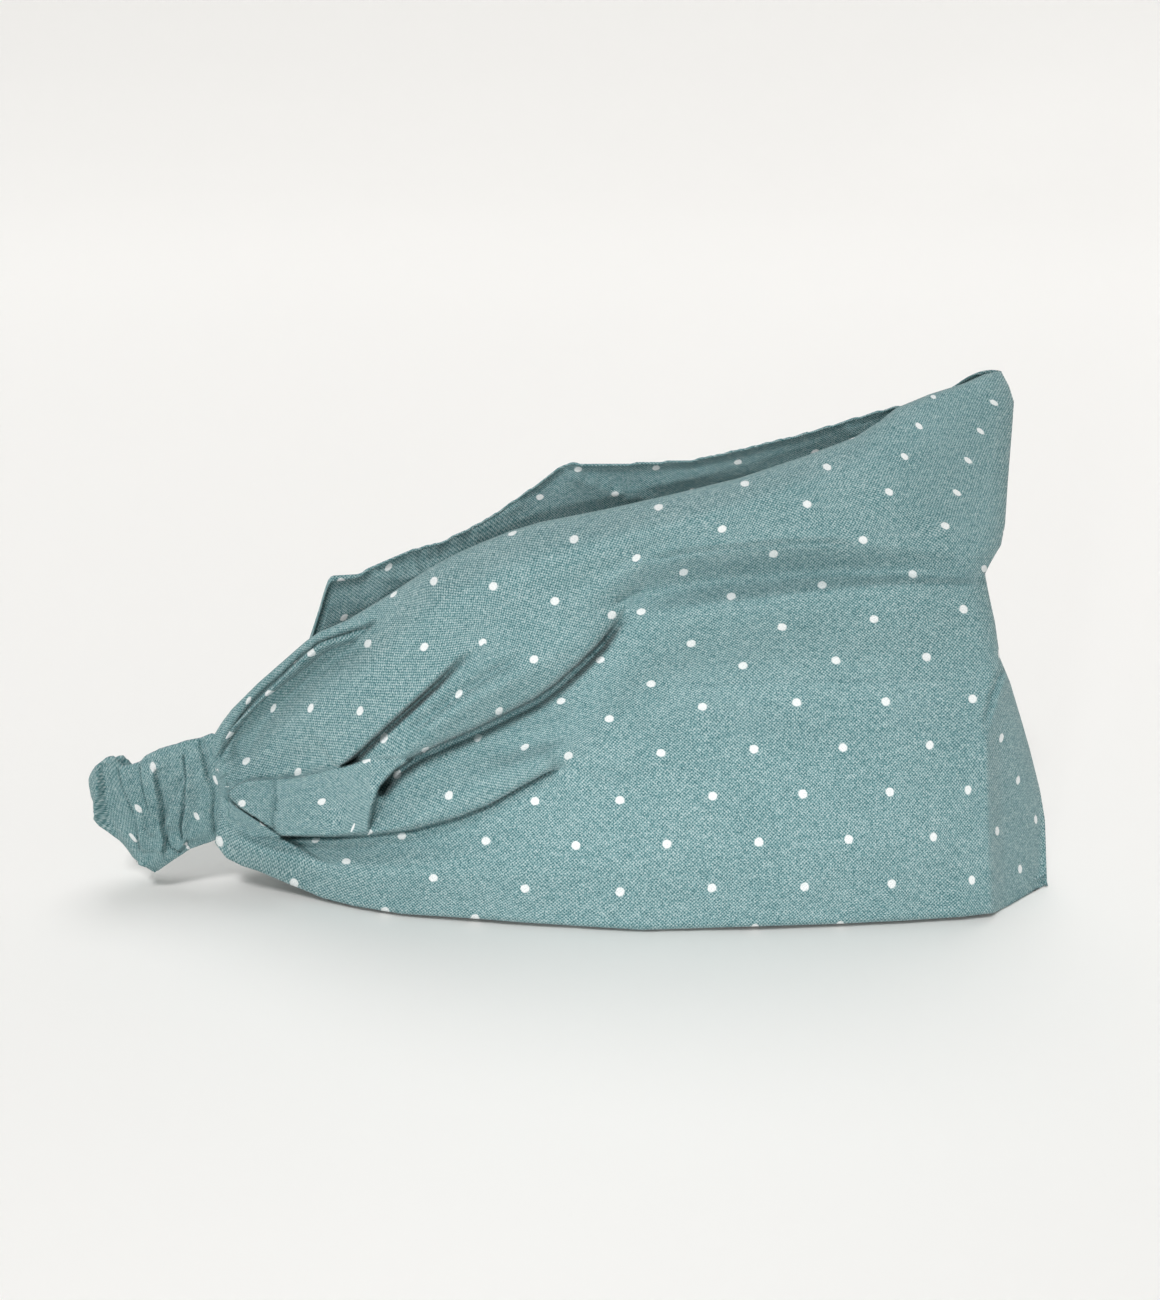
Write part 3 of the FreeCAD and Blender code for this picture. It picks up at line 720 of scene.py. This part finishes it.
NA, NP = 460, 170
TUCK_IN = 5.0
aa = np.linspace(-TUCK_IN, A_TOT + TUCK_IN, NA)
psi = np.linspace(-math.pi, math.pi, NP + 1)          # the tube's own seam runs where it closes, inside
AA, PS = np.meshgrid(aa, psi, indexing="ij")
side = np.cos(PS)                        # +1 outer face, -1 inner face
hgt = np.sin(PS)
uz = np.sign(hgt) * np.abs(hgt) ** (2.0 / 3.2)
un = np.sign(side) * np.abs(side) ** (2.0 / 2.4)
af = np.clip(AA / A_TOT, 0, 1)
VV = 0.5 + 0.5 * uz
mxx, myy, mzz, nxx, nyy = casing_mid(AA, VV)
th = (1.1 + 1.3 * np.sin(np.pi * np.clip(af, 0, 1)) ** 0.6) * (1 - 0.55 * smooth(-np.minimum(AA, A_TOT - AA) / 2.5))
ends = smooth(np.clip(np.minimum(AA, A_TOT - AA), 0, None) / 5.0)


def pucker(a, z, seed, lam):
    """rounded lobes with narrow valleys between, wandering across the width"""
    ph = (a + 2.4 * noise2(z / 9.0 + seed, a / 14.0 + seed) + 1.2 * noise2(z / 4.5, a / 7.0 + 3 * seed)) / lam
    return 1 - (1 - np.abs(np.sin(np.pi * ph))) ** 3.2


cpx, cpy = project(np.stack([mxx, myy, mzz], -1))


def fold_c(poly, depth, width, left=0.0, right=0.0, reach=8.0, t0=6.0, t1=6.0):
    d_, sd_, s_q, L_q = to_polyline(poly, cpx, cpy)
    g_ = -depth * np.exp(-(sd_ / width) ** 2)
    g_ = g_ + ((sd_ > 0) * right + (sd_ <= 0) * left) * np.exp(-d_ / reach) * (1 - np.exp(-(d_ / 1.1) ** 2))
    return g_ * (d_ < 40) * smooth((s_q + 1.0) / t0) * smooth((L_q - s_q + 1.0) / t1)


front = 0.0
front = front + fold_c([(101, 762), (104, 783), (106, 800), (110, 817), (118, 833), (128, 852), (137, 866)], -1.1, 2.0,
                       left=-0.3, right=-1.9, reach=10.0)
front = front + fold_c([(118, 764), (124, 782), (131, 797), (137, 812), (140, 830), (142, 850)], 0.3, 3.0, left=0.5,
                       right=1.0, reach=9.0)
front = front + fold_c([(90, 792), (96, 806), (104, 824), (112, 838), (122, 854)], 0.9, 1.6, t1=12.0)
front = front + fold_c([(136, 862), (142, 866), (149, 869), (157, 870)], 2.6, 3.0, t0=3.0, t1=3.0)
front = front + fold_c([(141, 763), (145, 780), (149, 795), (152, 805), (153, 817), (148, 829)], 0.8, 1.5, left=-0.4,
                       right=1.6, reach=9.0)
front = front + fold_c([(157, 765), (160, 780), (163, 795), (165, 823), (168, 834), (166, 850)], 0.9, 1.4, left=1.2,
                       right=-0.9, reach=9.0)
front = front + fold_c([(186, 776), (178, 790), (169, 811), (165, 824)], 0.7, 1.3, left=-0.8, right=1.2, reach=10.0)
front = front + fold_c([(185, 752), (188, 772), (187, 800), (183, 823), (185, 840)], 1.0, 1.4, left=-0.3, right=1.5,
                       reach=10.0)
front = front + fold_c([(168, 834), (172, 844), (180, 850), (186, 844), (189, 836)], 1.4, 1.5, left=0.2, right=1.3,
                       reach=4.0)
front = front + fold_c([(201, 738), (206, 755), (210, 773), (216, 787), (217, 795), (215, 808), (217, 832)], 1.6, 2.4,
                       left=0.6, reach=9.0)
front = 1.25 * front + 0.30 * noise2(cpx / 9.0, cpy / 16.0 + 4) + 0.08 * noise2(cpx / 4.0 + 7, cpy / 9.0)
zz = uz * 12.6
lobes = pucker(AA + 0.12 * zz, zz + 30 * side, 1.7, 5.6)
rest_ = (0.95 + 0.6 * noise2(AA / 6.0, zz / 8.0 + 11)) * (lobes - 0.55) + 0.3 * noise2(AA / 2.4, zz / 5.0 + 4)
on_front = smooth(side / 0.25) * smooth((RUN + 0.80 * ARC - AA) / 3.0)
d_n = front * on_front + rest_ * (1 - on_front)
edge_wave = 0.9 * (pucker(AA, 0 * AA + 5 * np.sign(hgt), 3.3, 5.6) - 0.5) + 0.5 * noise2(AA / 4.0, 3.0 + np.sign(hgt))
off = un * th + np.abs(un) ** 0.5 * np.sign(un) * d_n * (0.35 + 0.65 * ends)
off = np.where(un < 0, np.clip(off, -CR + 0.6, 0), np.maximum(off, 0.62 * un))
cas_z = mzz + edge_wave * ends * np.abs(uz) ** 6 * 0.45 * (AA > RUN)
cas_p = np.stack([mxx + nxx * off, myy + nyy * off, cas_z], -1)
CAS_DOTS = [(145, 800, 0, 0), (201, 813, 2, 0), (133, 831, -1, -1)]
# place in the repeat: fixed by what shows in front, carried round the tube by arc length
un_s = np.where(np.abs(PS) <= math.pi / 2, uz * 12.6, np.sign(PS) * (2 * 12.6 - np.abs(uz) * 12.6))
Mf = (on_front > 0.99) & (AA < RUN)
uvf = lattice(CAS_DOTS, [], cpx[Mf], cpy[Mf], sigma=90.0, default=((28.0, 6.5), (-12.0, -44.0)))
Af = np.stack([np.ones(Mf.sum()), AA[Mf], un_s[Mf]], -1)
cf = np.linalg.lstsq(Af, uvf.reshape(-1, 2), rcond=None)[0]
cas_uv = cf[0] + AA[..., None] * cf[1] + un_s[..., None] * cf[2]
casing = grid_mesh("elastic_casing_ruched", cas_p, cas_uv, flip=True)
set_blend(casing)
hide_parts("elastic_casing")

# elastic inside it
ea = np.linspace(-4.0, A_TOT + 4.0, 120)
sec = [(-0.5, -1.0), (0.5, -1.0), (0.5, -0.6), (0.5, 0.0), (0.5, 0.6), (0.5, 1.0), (-0.5, 1.0), (-0.5, 0.6),
       (-0.5, 0.0), (-0.5, -0.6), (-0.5, -1.0)]
el_p = []
for n_, z_ in sec:
    ex_, ey_, ez_, enx, eny = casing_mid(ea, np.full(ea.shape, 0.5 + 0.36 * z_))
    el_p.append(np.stack([ex_ + enx * n_, ey_ + eny * n_, ez_], -1))
el_p = np.stack(el_p, 1)
el_uv = np.stack([np.repeat(ea[:, None], len(sec), 1), np.repeat(np.arange(len(sec))[None] * 4.0, len(ea), 0)], -1)
elastic = grid_mesh("elastic_band", el_p, el_uv, flip=True)
set_blend(elastic)
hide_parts("elastic_strip")


# ---- stitches -----------------------------------------------------------------
def stitches(name, path, nrm, length=2.0, gap=0.7, r=0.22):
    """Row of small rounded stitches along a path of points lying on the cloth."""
    path = np.array(path, float)
    nrm = np.array(nrm, float)
    dd = np.r_[0, np.cumsum(np.linalg.norm(np.diff(path, axis=0), axis=1))]
    n = max(1, int(dd[-1] / (length + gap)))
    V, F, along = [], [], []
    for i in range(n):
        s0 = (i + 0.5) * dd[-1] / n - length / 2
        ring0 = len(V)
        ks = np.linspace(0, 1, 7)
        for kk in ks:
            s = s0 + kk * length
            c = np.array([np.interp(s, dd, path[:, m]) for m in range(3)])
            nn = np.array([np.interp(s, dd, nrm[:, m]) for m in range(3)])
            nn /= np.linalg.norm(nn) + 1e-9
            c2 = np.array([np.interp(s + 0.2, dd, path[:, m]) for m in range(3)])
            tdir = c2 - c
            tdir /= np.linalg.norm(tdir) + 1e-9
            b = np.cross(tdir, nn)
            bulge = math.sin(math.pi * kk)
            rr = r * (0.35 + 0.65 * bulge)
            lift = r * (1.2 * bulge - 0.5)
            for q in range(6):
                an = 2 * math.pi * q / 6
                V.append(c + nn * (lift + rr * math.sin(an)) + b * rr * math.cos(an))
            along.append(s)
        for k_ in range(6):
            for q in range(6):
                a0 = ring0 + k_ * 6 + q
                a1 = ring0 + k_ * 6 + (q + 1) % 6
                F.append((a0, a1, a1 + 6, a0 + 6))
        F.append(tuple(ring0 + q for q in range(5, -1, -1)))
        F.append(tuple(ring0 + 36 + q for q in range(6)))
    me = bpy.data.meshes.new(name)
    me.from_pydata([((p + SHIFT) / 1000.0).tolist() for p in V], [], F)
    me.polygons.foreach_set("use_smooth", np.ones(len(me.polygons), bool))
    me.update()
    o = bpy.data.objects.new(name, me)
    bpy.context.scene.collection.objects.link(o)
    return o, np.repeat(np.array(along), 6)


b0 = len(bots)
col = 5
seam_rows = list(range(b0 + 12, b0 + NT - 12, 3))
nrow, _ = stitches("near_end_stitches", full[col, seam_rows], np.tile([0, -1.0, 0.1], (len(seam_rows), 1)), 2.0, 0.8, 0.2)
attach(nrow, "near_side"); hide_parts("near_end_stitch")
frow, _ = stitches("far_end_stitches", full[NC - 1 - col, seam_rows], np.tile([0, 1.0, 0.1], (len(seam_rows), 1)), 2.0, 0.8, 0.2)
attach(frow, "far_side"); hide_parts("far_end_stitch")

jl = int(NL * 0.10)
cols_n = np.arange(30, NS - 30, 2)
tn, _ = stitches("near_tube_seam_stitches", lin[cols_n, jl], inw3[cols_n], 2.2, 0.7, 0.2)
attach(tn, "near_side"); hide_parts("near_tube_seam")
cols_f = np.arange(NS + 60, NC - 30, 2)
tf, _ = stitches("far_tube_seam_stitches", lin[cols_f, jl], inw3[cols_f], 2.2, 0.7, 0.2)
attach(tf, "far_side"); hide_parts("far_tube_seam")


def tack(name, cols, body, node):
    """Close zigzag that holds the elastic's end."""
    pts, nr = [], []
    js = np.linspace(NL * 0.22, NL * 0.80, 30)
    for i, j in enumerate(js):
        c = cols[i % 2]
        pts.append(lin[c, int(j)])
        nr.append(inw3[c])
    o, _ = stitches(name, pts, nr, 1.6, 0.15, 0.2)
    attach(o, body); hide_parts(node)
    return o


t1 = tack("near_tack_stitches", (6, 10), "near_side", "near_elastic_tack")
t2 = tack("far_tack_stitches", (NC - 7, NC - 11), "far_side", "far_elastic_tack")

ia = np.arange(44, NA - 44, 3)
pin = 0
cs, cs_a = stitches("casing_seam_stitches", cas_p[ia, pin],
                    -np.stack([nxx[ia, pin], nyy[ia, pin], 0 * nxx[ia, pin]], -1), 1.9, 0.8, 0.18)
set_blend(cs)
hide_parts("casing_seam")
threads = [nrow, frow, tn, tf, t1, t2, cs]

# ---- materials -------------------------------------------------------------------


class Nodes:
    def __init__(self, name):
        self.mat = bpy.data.materials.new(name)
        self.mat.use_nodes = True
        self.nt = self.mat.node_tree
        for n in list(self.nt.nodes):
            self.nt.nodes.remove(n)
        self.out = self.nt.nodes.new("ShaderNodeOutputMaterial")
        self.bsdf = self.nt.nodes.new("ShaderNodeBsdfPrincipled")
        self.nt.links.new(self.bsdf.outputs[0], self.out.inputs[0])

    def new(self, kind, **kw):
        n = self.nt.nodes.new(kind)
        for a, v in kw.items():
            setattr(n, a, v)
        return n

    def link(self, a, b):
        self.nt.links.new(a, b)

    def math(self, op, a, b=None, clamp=False):
        n = self.new("ShaderNodeMath", operation=op)
        n.use_clamp = clamp
        for i, v in enumerate((a, b)):
            if v is None:
                continue
            if isinstance(v, (int, float)):
                n.inputs[i].default_value = v
            else:
                self.link(v, n.inputs[i])
        return n.outputs[0]

    def mix(self, fac, a, b, blend="MIX"):
        n = self.new("ShaderNodeMix", data_type="RGBA", blend_type=blend)
        for i, v in ((0, fac), (6, a), (7, b)):
            if isinstance(v, (int, float)):
                n.inputs[i].default_value = v
            elif isinstance(v, tuple):
                n.inputs[i].default_value = v
            else:
                self.link(v, n.inputs[i])
        return n.outputs[2]


def srgb(r, g, b):
    f = lambda c: (c / 255.0 / 12.92) if c / 255.0 <= 0.04045 else ((c / 255.0 + 0.055) / 1.055) ** 2.4
    return (f(r), f(g), f(b), 1.0)


def cloth(name, tint=1.0, dots=True, seed=0.0, check=0.6):
    m = Nodes(name)
    uv = m.new("ShaderNodeUVMap", uv_map="print")
    sep = m.new("ShaderNodeSeparateXYZ")
    m.link(uv.outputs[0], sep.inputs[0])
    U, V = sep.outputs[0], sep.outputs[1]
    # irregular yarn: long thin streaks both ways, plus patches of paler weft
    def streak(su, sv, detail, off):
        c = m.new("ShaderNodeCombineXYZ")
        m.link(m.math("MULTIPLY", U, su), c.inputs[0])
        m.link(m.math("MULTIPLY", V, sv), c.inputs[1])
        c.inputs[2].default_value = off
        n = m.new("ShaderNodeTexNoise")
        n.inputs["Scale"].default_value = 1.0
        n.inputs["Detail"].default_value = detail
        n.inputs["Roughness"].default_value = 0.6
        m.link(c.outputs[0], n.inputs["Vector"])
        return n.outputs[0]
    weft = streak(9.0, 30.0, 1.0, 1.3 + seed)
    warp = streak(30.0, 7.0, 1.0, 5.1 + seed)
    fine = streak(36.0, 36.0, 1.0, 9.0 + seed)
    broad = streak(0.55, 0.55, 2.0, 3.0 + seed)
    # over-under of single yarns
    wu = m.math("SINE", m.math("MULTIPLY", U, 2 * math.pi * 12.5))
    wv = m.math("SINE", m.math("MULTIPLY", V, 2 * math.pi * 12.5))
    weave = m.math("MULTIPLY", wu, wv)
    k = m.math("ADD", m.math("MULTIPLY", m.math("SUBTRACT", weft, 0.5), 1.25),
               m.math("MULTIPLY", m.math("SUBTRACT", warp, 0.5), 1.35))
    k = m.math("ADD", k, m.math("MULTIPLY", m.math("SUBTRACT", fine, 0.5), 2.1))
    k = m.math("ADD", k, m.math("MULTIPLY", weave, check))
    k = m.math("ADD", k, m.math("MULTIPLY", m.math("SUBTRACT", broad, 0.5), 0.25))
    k = m.math("ADD", m.math("MULTIPLY", k, 0.75), 0.5, clamp=True)
    ramp = m.new("ShaderNodeValToRGB")
    e = ramp.color_ramp.elements
    # tint scales every colour of the cloth; a tint below 1 is painted shade, as on the inside copy
    e[0].position, e[0].color = 0.0, srgb(*[c * tint for c in (59, 103, 108)])
    e[1].position, e[1].color = 1.0, srgb(*[min(255, c * tint) for c in (178, 196, 197)])
    mid1 = e.new(0.38); mid1.color = srgb(*[c * tint for c in (104, 142, 145)])
    mid2 = e.new(0.66); mid2.color = srgb(*[c * tint for c in (132, 162, 165)])
    m.link(k, ramp.inputs[0])
    col = ramp.outputs[0]
    ink = None
    if dots:
        wob = m.new("ShaderNodeTexNoise")
        wob.inputs["Scale"].default_value = 9.0
        wob.inputs["Detail"].default_value = 1.0
        m.link(uv.outputs[0], wob.inputs["Vector"])
        p = m.math("MULTIPLY", m.math("ADD", U, V), 0.5)
        q = m.math("MULTIPLY", m.math("SUBTRACT", U, V), 0.5)
        dp = m.math("SUBTRACT", p, m.math("ROUND", p))
        dq = m.math("SUBTRACT", q, m.math("ROUND", q))
        du = m.math("ADD", dp, dq)
        dv = m.math("SUBTRACT", dp, dq)
        r = m.math("SQRT", m.math("ADD", m.math("MULTIPLY", du, du), m.math("MULTIPLY", dv, dv)))
        r = m.math("ADD", r, m.math("MULTIPLY", m.math("SUBTRACT", wob.outputs[0], 0.5), 0.035))
        mr = m.new("ShaderNodeMapRange")
        mr.interpolation_type = "SMOOTHSTEP"
        mr.inputs["From Min"].default_value = 0.114
        mr.inputs["From Max"].default_value = 0.082
        m.link(r, mr.inputs["Value"])
        ink = mr.outputs[0]
        # ink sits on the yarns, a little broken between them
        gaps = m.math("SUBTRACT", 0.96, m.math("ADD", m.math("MULTIPLY", m.math("SUBTRACT", fine, 0.45, clamp=True), 1.1),
                                              m.math("MULTIPLY", m.math("MAXIMUM", weave, 0.0), 0.16)), clamp=True)
        ink = m.math("MULTIPLY", ink, gaps)
        col = m.mix(ink, col, srgb(238, 241, 241))
    m.link(col, m.bsdf.inputs["Base Color"])
    m.bsdf.inputs["Roughness"].default_value = 0.92
    m.bsdf.inputs["Specular IOR Level"].default_value = 0.18
    m.bsdf.inputs["Sheen Weight"].default_value = 0.12
    m.bsdf.inputs["Sheen Roughness"].default_value = 0.5
    b = m.new("ShaderNodeBump")
    b.inputs["Strength"].default_value = 0.35
    b.inputs["Distance"].default_value = 0.00025
    h = m.math("ADD", m.math("MULTIPLY", weave, 0.55), m.math("MULTIPLY", fine, 0.5))
    if ink is not None:
        h = m.math("ADD", h, m.math("MULTIPLY", ink, 0.25))
    m.link(h, b.inputs["Height"])
    m.link(b.outputs[0], m.bsdf.inputs["Normal"])
    return m.mat


mat_out = cloth("printed_cloth_outer")
# the inside copy of the cloth is made 3% darker (tint 0.97): painted shade for the inside of the loop
mat_lin = cloth("printed_cloth_inner_painted_shade", 0.97, True, 4.0)
mat_cas = cloth("printed_cloth_casing", 1.0, True, 8.0, 0.45)
outer.data.materials.append(mat_out)
lining.data.materials.append(mat_lin)
casing.data.materials.append(mat_cas)

thr = Nodes("sewing_thread")
tc = thr.new("ShaderNodeTexCoord")
wv_ = thr.new("ShaderNodeTexWave")
wv_.inputs["Scale"].default_value = 1800.0
wv_.inputs["Distortion"].default_value = 2.0
thr.link(tc.outputs["Object"], wv_.inputs["Vector"])
thr.link(thr.mix(wv_.outputs[1], srgb(92, 134, 136), srgb(134, 170, 170)), thr.bsdf.inputs["Base Color"])
thr.bsdf.inputs["Roughness"].default_value = 0.7
thr.bsdf.inputs["Sheen Weight"].default_value = 0.2
for o in threads:
    o.data.materials.append(thr.mat)

els = Nodes("braided_elastic")
euv = els.new("ShaderNodeUVMap", uv_map="print")
es = els.new("ShaderNodeSeparateXYZ")
els.link(euv.outputs[0], es.inputs[0])
rib = els.math("SINE", els.math("MULTIPLY", es.outputs[0], 5.0))
els.link(els.mix(els.math("ADD", els.math("MULTIPLY", rib, 0.5), 0.5), srgb(208, 208, 202), srgb(240, 240, 236)),
         els.bsdf.inputs["Base Color"])
els.bsdf.inputs["Roughness"].default_value = 0.6
elastic.data.materials.append(els.mat)

# ---- floor, light and camera -----------------------------------------------------
prof = [(0.001, 0.0), (0.5, 0.0), (1.2, 0.0), (1.7, 0.0)]
prof += [(1.7 + 1.1 * math.sin(t), 1.1 * (1 - math.cos(t))) for t in np.radians([8, 18, 30, 42, 54, 66, 78, 90])]
prof += [(2.8, 1.6), (2.8, 2.2)]
NR = 96
fv, ff = [], []
for r, z in prof:
    for i in range(NR):
        an = 2 * math.pi * i / NR
        fv.append((r * math.cos(an), r * math.sin(an), z))
for k in range(len(prof) - 1):
    for i in range(NR):
        ff.append((k * NR + i, (k + 1) * NR + i, (k + 1) * NR + (i + 1) % NR, k * NR + (i + 1) % NR))
me = bpy.data.meshes.new("floor")
me.from_pydata(fv, [], ff)
me.polygons.foreach_set("use_smooth", np.ones(len(me.polygons), bool))
floor = bpy.data.objects.new("floor", me)
bpy.context.scene.collection.objects.link(floor)
floor.location.z = -0.0003
fm = Nodes("floor_paint")
fn = fm.new("ShaderNodeTexNoise")
fn.inputs["Scale"].default_value = 3.0
fm.link(fm.mix(fn.outputs[0], srgb(249, 248, 246), srgb(251, 250, 248)), fm.bsdf.inputs["Base Color"])
fm.bsdf.inputs["Roughness"].default_value = 0.9
fm.bsdf.inputs["Specular IOR Level"].default_value = 0.05
me.materials.append(fm.mat)

sc = bpy.context.scene
sc.view_settings.view_transform = "Standard"
sc.view_settings.look = "None"
world = bpy.data.worlds.new("studio")
sc.world = world
world.use_nodes = True
bg = world.node_tree.nodes["Background"]
bg.inputs[0].default_value = (1.0, 0.995, 0.985, 1.0)
bg.inputs[1].default_value = 0.27


def area(name, loc, target, size, power, color=(1, 1, 1)):
    l = bpy.data.lights.new(name, "AREA")
    l.shape = "DISK"
    l.size = size
    l.energy = power
    l.color = color
    o = bpy.data.objects.new(name, l)
    o.location = loc
    v = Vector(target) - Vector(loc)
    o.rotation_euler = v.to_track_quat("-Z", "Y").to_euler()
    sc.collection.objects.link(o)
    return o


def sun(name, az, el, strength, angle):
    """Even light from a direction; azimuth 0 comes from the near side."""
    l = bpy.data.lights.new(name, "SUN")
    l.energy = strength
    l.angle = math.radians(angle)
    o = bpy.data.objects.new(name, l)
    a_, e_ = math.radians(az), math.radians(el)
    d_ = Vector((math.sin(a_) * math.cos(e_), -math.cos(a_) * math.cos(e_), math.sin(e_)))
    o.rotation_euler = (-d_).to_track_quat("-Z", "Y").to_euler()
    o.location = d_
    sc.collection.objects.link(o)
    return o


def soft_spot(name, loc, target, watts, cone, size):
    """Flash-like lamp from beside the camera, brightest on the lower middle and falling off gently."""
    l = bpy.data.lights.new(name, "SPOT")
    l.energy = watts
    l.spot_size = math.radians(cone)
    l.spot_blend = 1.0
    l.shadow_soft_size = size
    o = bpy.data.objects.new(name, l)
    o.location = loc
    o.rotation_euler = (Vector(target) - Vector(loc)).to_track_quat("-Z", "Y").to_euler()
    sc.collection.objects.link(o)
    return o


soft_spot("key", (-0.42, -1.43, 0.13), (0.025, -0.02, 0.024), 46.5, 11.0, 0.08)
sun("top", -18, 54, 1.22, 12)
sun("back", 172, 70, 0.80, 40)

cam_d = bpy.data.cameras.new("camera")
cam = bpy.data.objects.new("camera", cam_d)
sc.collection.objects.link(cam)
cam_d.sensor_fit = "HORIZONTAL"
cam_d.sensor_width = 36.0
cam_d.lens = FPX / 1160.0 * 36.0
cam_d.clip_start = 0.01
eye = (EYE + SHIFT) / 1000.0
cam.matrix_world = Matrix(((RIGHT[0], UP[0], -FWD[0], eye[0]),
                           (RIGHT[1], UP[1], -FWD[1], eye[1]),
                           (RIGHT[2], UP[2], -FWD[2], eye[2]),
                           (0, 0, 0, 1)))
sc.camera = cam
